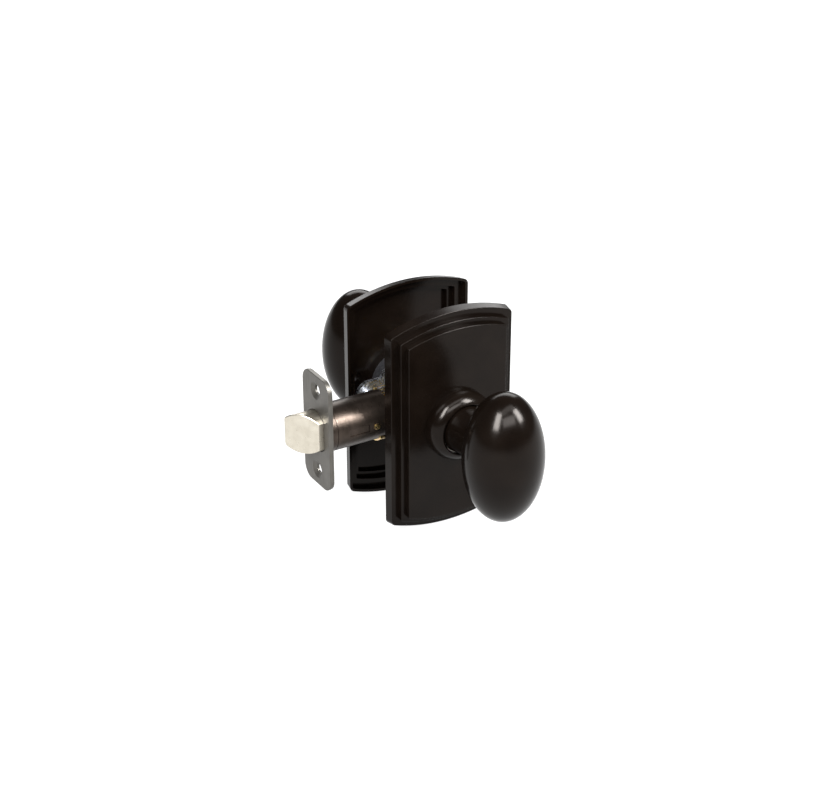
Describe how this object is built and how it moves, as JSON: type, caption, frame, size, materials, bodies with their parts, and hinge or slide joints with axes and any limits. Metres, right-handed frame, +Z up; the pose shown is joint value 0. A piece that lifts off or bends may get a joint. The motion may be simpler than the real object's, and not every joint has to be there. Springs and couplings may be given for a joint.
{
  "type": "door knob set",
  "caption": "Passage door knob set: egg knobs on tall stepped roses, a square spindle, and a tubular spring latch with a bevelled bolt.",
  "frame": {"origin": "where the spindle's axis crosses the latch's axis, in the middle of the door's thickness and at the centre of the door's cross bore", "axes": "+Y along the spindle to the room side, -X along the latch to the door's edge, +Z up"},
  "size_m": [0.1065, 0.1704, 0.1112],
  "materials": {
    "dark_bronze": "satin oil-rubbed bronze coating",
    "face_bronze": "satin dark bronze coating",
    "tube_bronze": "brushed dark bronze plate",
    "satin_nickel": "satin nickel plate",
    "zinc_steel": "bright zinc plate",
    "yellow_zinc": "yellow chromate zinc plate",
    "black_spring_steel": "oiled spring steel",
    "white_nylon": "moulded nylon"
  },
  "bodies": {
    "trim": {"outside_rose": "dark_bronze", "outside_rose_collar": "dark_bronze", "outside_shank_bushing": "white_nylon", "outside_spring_cup": "black_spring_steel", "outside_return_spring": "black_spring_steel", "outside_mounting_plate": "zinc_steel", "inside_rose": "dark_bronze", "inside_rose_collar": "dark_bronze", "inside_shank_bushing": "white_nylon", "inside_spring_cup": "black_spring_steel", "inside_return_spring": "black_spring_steel", "inside_mounting_plate": "zinc_steel", "mounting_posts": "yellow_zinc", "through_bolts": "zinc_steel", "latch_faceplate": "face_bronze", "latch_backplate": "face_bronze", "latch_tube_collar": "tube_bronze", "latch_tube": "tube_bronze", "latch_tube_pins": "yellow_zinc", "latch_case_outside": "yellow_zinc", "latch_case_inside": "yellow_zinc", "latch_case_rivets": "zinc_steel", "latch_spring_seat": "zinc_steel", "latch_bolt_spring": "black_spring_steel"},
    "knobs": {"outside_knob": "dark_bronze", "outside_knob_neck": "dark_bronze", "outside_knob_shank": "zinc_steel", "outside_snap_ring": "black_spring_steel", "outside_spring_driver": "zinc_steel", "inside_knob": "dark_bronze", "inside_knob_neck": "dark_bronze", "inside_knob_shank": "zinc_steel", "inside_snap_ring": "black_spring_steel", "inside_spring_driver": "zinc_steel", "spindle": "zinc_steel", "outside_shank_pin": "black_spring_steel", "inside_set_screw": "black_spring_steel", "latch_hub": "zinc_steel"},
    "bolt": {"latch_bolt": "satin_nickel", "latch_bolt_tail": "zinc_steel"}
  },
  "joints": [
    {"name": "knob_turn", "type": "hinge", "parent": "trim", "child": "knobs", "pos_m": [0, 0, 0], "axis": [0, 1, 0], "range_deg": [0, 60], "stiffness_Nm_per_rad": 0.3, "deforming": ["outside_return_spring", "inside_return_spring"]},
    {"name": "bolt_slide", "type": "slide", "parent": "trim", "child": "bolt", "axis": [1, 0, 0], "range_m": [0, 0.0127], "stiffness_N_per_m": 250, "deforming": ["latch_bolt_spring"]}
  ],
  "couplings": [
    {"joint": "bolt_slide", "follows": "knob_turn", "m_per_rad": 0.012127}
  ]
}
